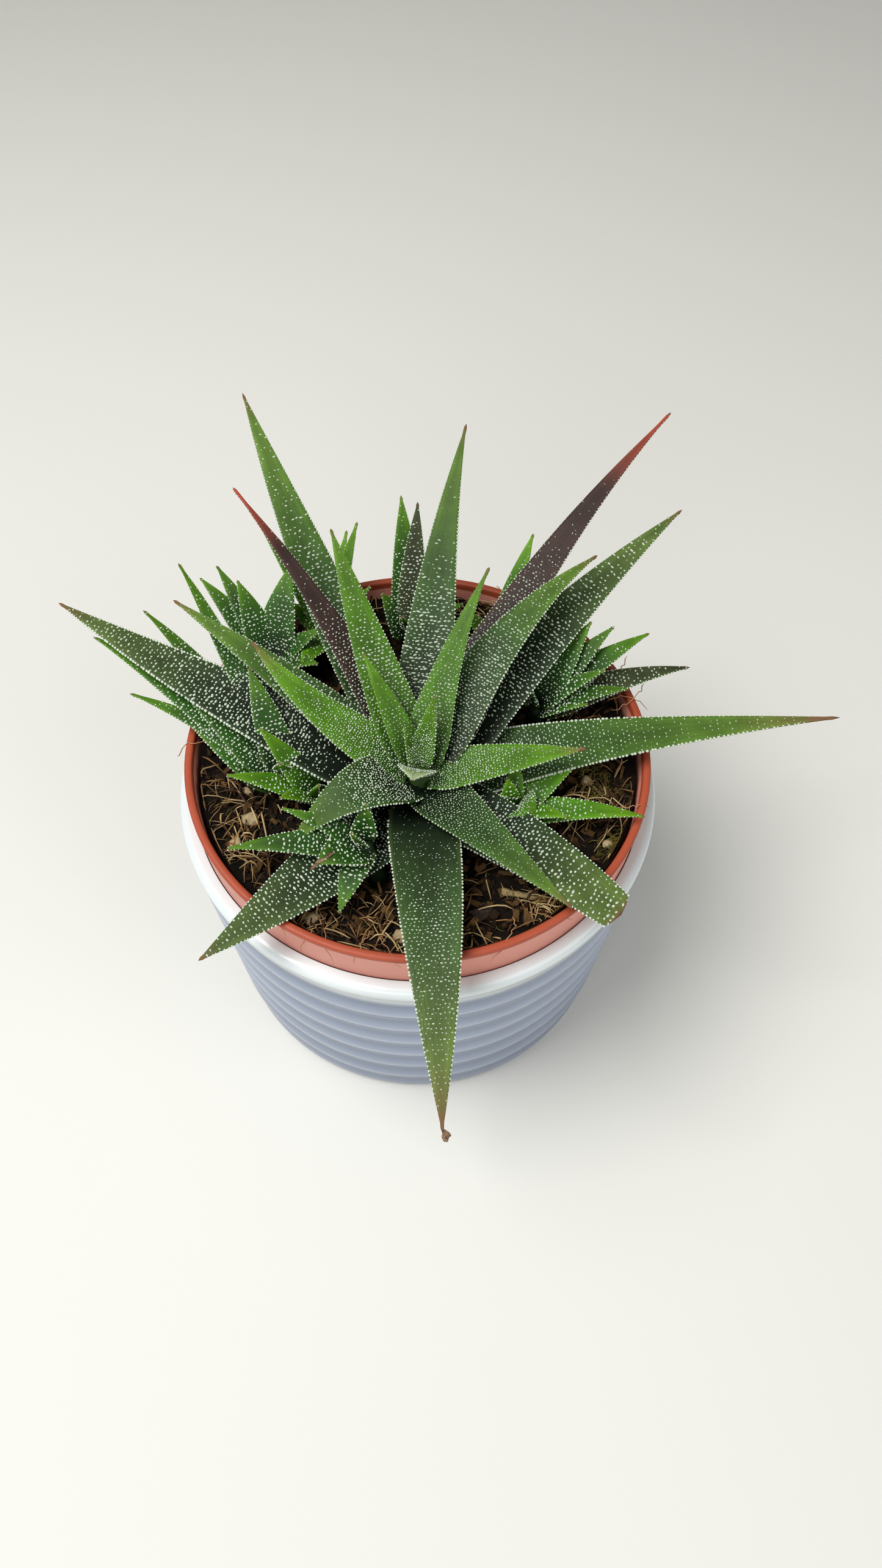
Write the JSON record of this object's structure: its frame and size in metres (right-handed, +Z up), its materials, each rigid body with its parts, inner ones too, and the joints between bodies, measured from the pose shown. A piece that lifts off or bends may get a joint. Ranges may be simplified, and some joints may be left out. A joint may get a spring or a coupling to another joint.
{
  "type": "potted haworthia",
  "caption": "Succulent with long pointed white-beaded leaves and small offsets, growing in a plastic nursery pot of soil that stands in a ribbed ceramic cover pot.",
  "frame": {"origin": "centre of the cover pot's flat underside, on the surface that it stands on", "axes": "+Z up along the pot's axis; -Y is the front, where the long leaf hangs over the rim; +X is the viewer's right"},
  "size_m": [0.203, 0.1889, 0.1428],
  "materials": {
    "ceramic": "gloss",
    "pot_plastic": "satin",
    "soil": "matte",
    "stem": "matte",
    "leaf_old": "satin",
    "leaf_mature": "satin",
    "leaf_young": "satin",
    "leaf_purple": "satin",
    "offset": "satin",
    "pebble": "matte",
    "bark": "matte",
    "straw": "matte"
  },
  "bodies": {
    "root": {"cover_pot": "ceramic", "nursery_pot": "pot_plastic", "soil": "soil", "main_stem_and_bud": "stem", "leaf_front_left_low": "leaf_old", "leaf_front_right_blunt": "leaf_old", "leaf_left_long": "leaf_old", "leaf_back_right_dark": "leaf_old", "leaf_front_hanging": "leaf_mature", "leaf_right_long": "leaf_mature", "leaf_back_left_tall": "leaf_mature", "leaf_back_tall": "leaf_mature", "leaf_left_behind": "leaf_mature", "leaf_front_right": "leaf_mature", "leaf_front_left_curled": "leaf_mature", "leaf_back_left_purple": "leaf_purple", "leaf_back_right_purple": "leaf_purple", "leaf_right_curved": "leaf_mature", "leaf_back_left_bright": "leaf_young", "leaf_right_short": "leaf_young", "leaf_left_bright": "leaf_young", "leaf_back_right_upright": "leaf_young", "leaf_back_left_small": "leaf_young", "offset_left": "offset", "offset_left_middle": "offset", "offset_back_left": "offset", "offset_back_left_far": "offset", "offset_back": "offset", "offset_back_right": "offset", "offset_right": "offset", "offset_right_front": "offset", "offset_front_left": "offset", "pebble_1": "pebble", "pebble_2": "pebble", "pebble_3": "pebble", "pebble_4": "pebble", "pebble_5": "pebble", "pebble_6": "pebble", "pebble_7": "pebble", "bark_chip": "bark", "pale_stick": "straw"}
  },
  "joints": []
}
